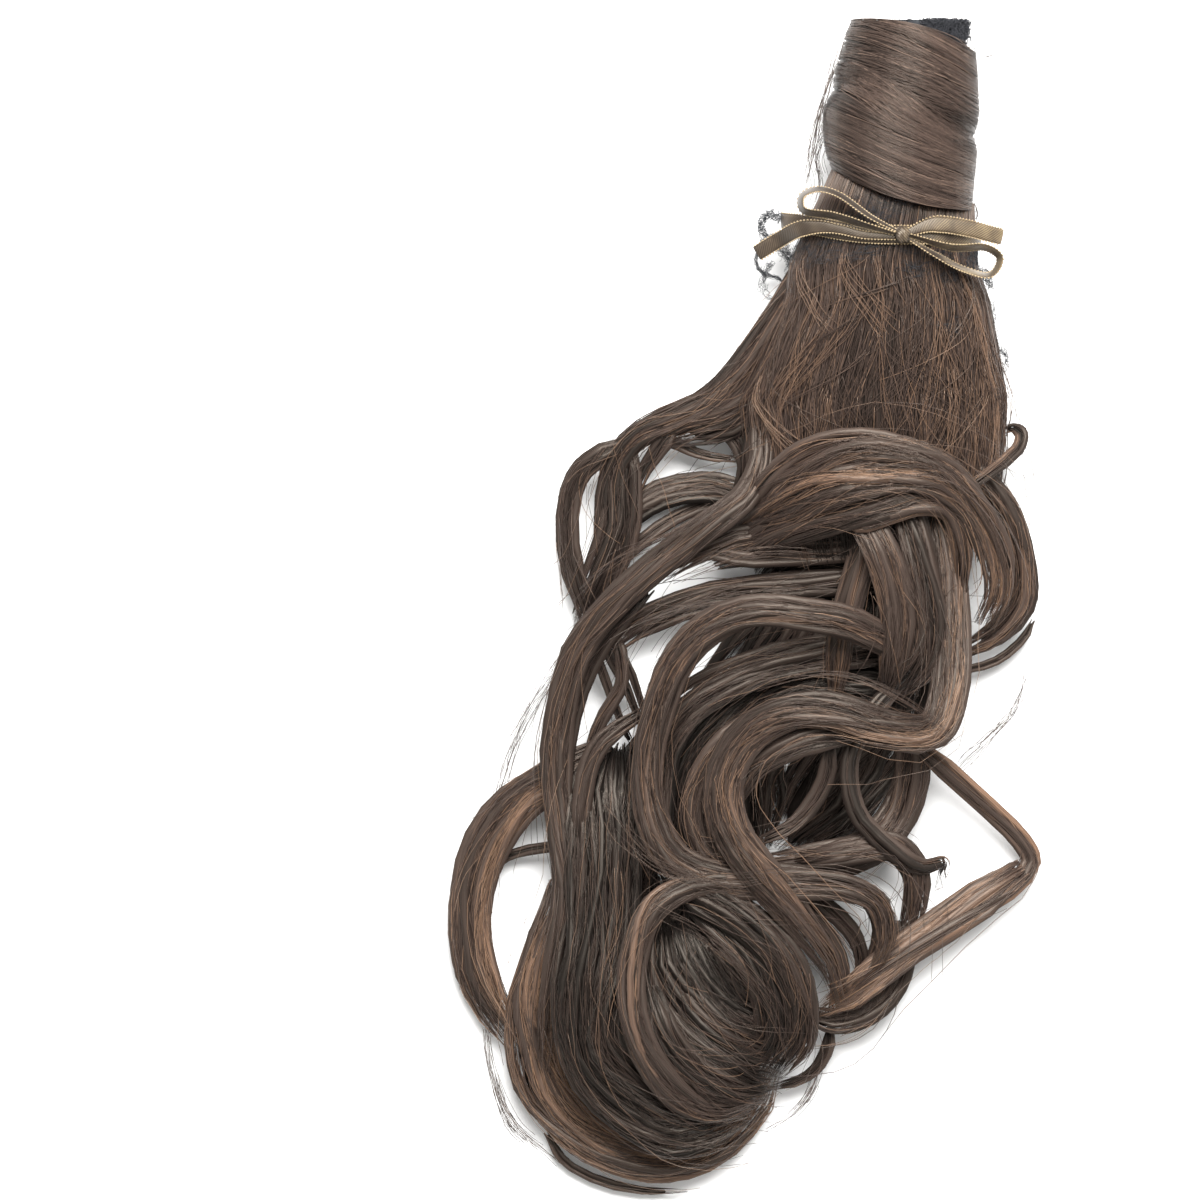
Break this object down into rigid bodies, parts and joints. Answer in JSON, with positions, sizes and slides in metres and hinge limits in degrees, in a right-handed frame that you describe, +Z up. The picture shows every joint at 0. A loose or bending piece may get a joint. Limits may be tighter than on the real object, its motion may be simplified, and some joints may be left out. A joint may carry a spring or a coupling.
{
  "type": "ponytail hairpiece",
  "caption": "Curled ponytail hairpiece lying flat: a net cuff wrapped in wound hair, a neck tied with a ribbon bow, and a long tail of loose curled locks.",
  "frame": {"origin": "middle of the foot of the bounding box of the piece as it lies on a flat surface", "axes": "+Y along the piece, from the curls to the mouth of the cuff; +X across it, to the right as seen from above; +Z up from the surface"},
  "size_m": [0.2274, 0.446, 0.0539],
  "materials": {
    "hair": "dark brown fibre with caramel streaks and a soft sheen",
    "wound_hair": "the same fibre, combed smooth",
    "net": "matt black net with a fuzzy edge",
    "ribbon": "taupe satin"
  },
  "bodies": {
    "root": {"cuff": "net", "wrap_turn_upper": "wound_hair", "wrap_turn_middle": "wound_hair", "wrap_turn_lower": "wound_hair", "hair_tail": "hair", "net_band": "net", "ribbon_tie": "ribbon", "ribbon_knot": "ribbon", "ribbon_loop_left": "ribbon", "ribbon_loop_right": "ribbon", "ribbon_tail_left": "ribbon", "ribbon_tail_right": "ribbon"}
  },
  "joints": []
}
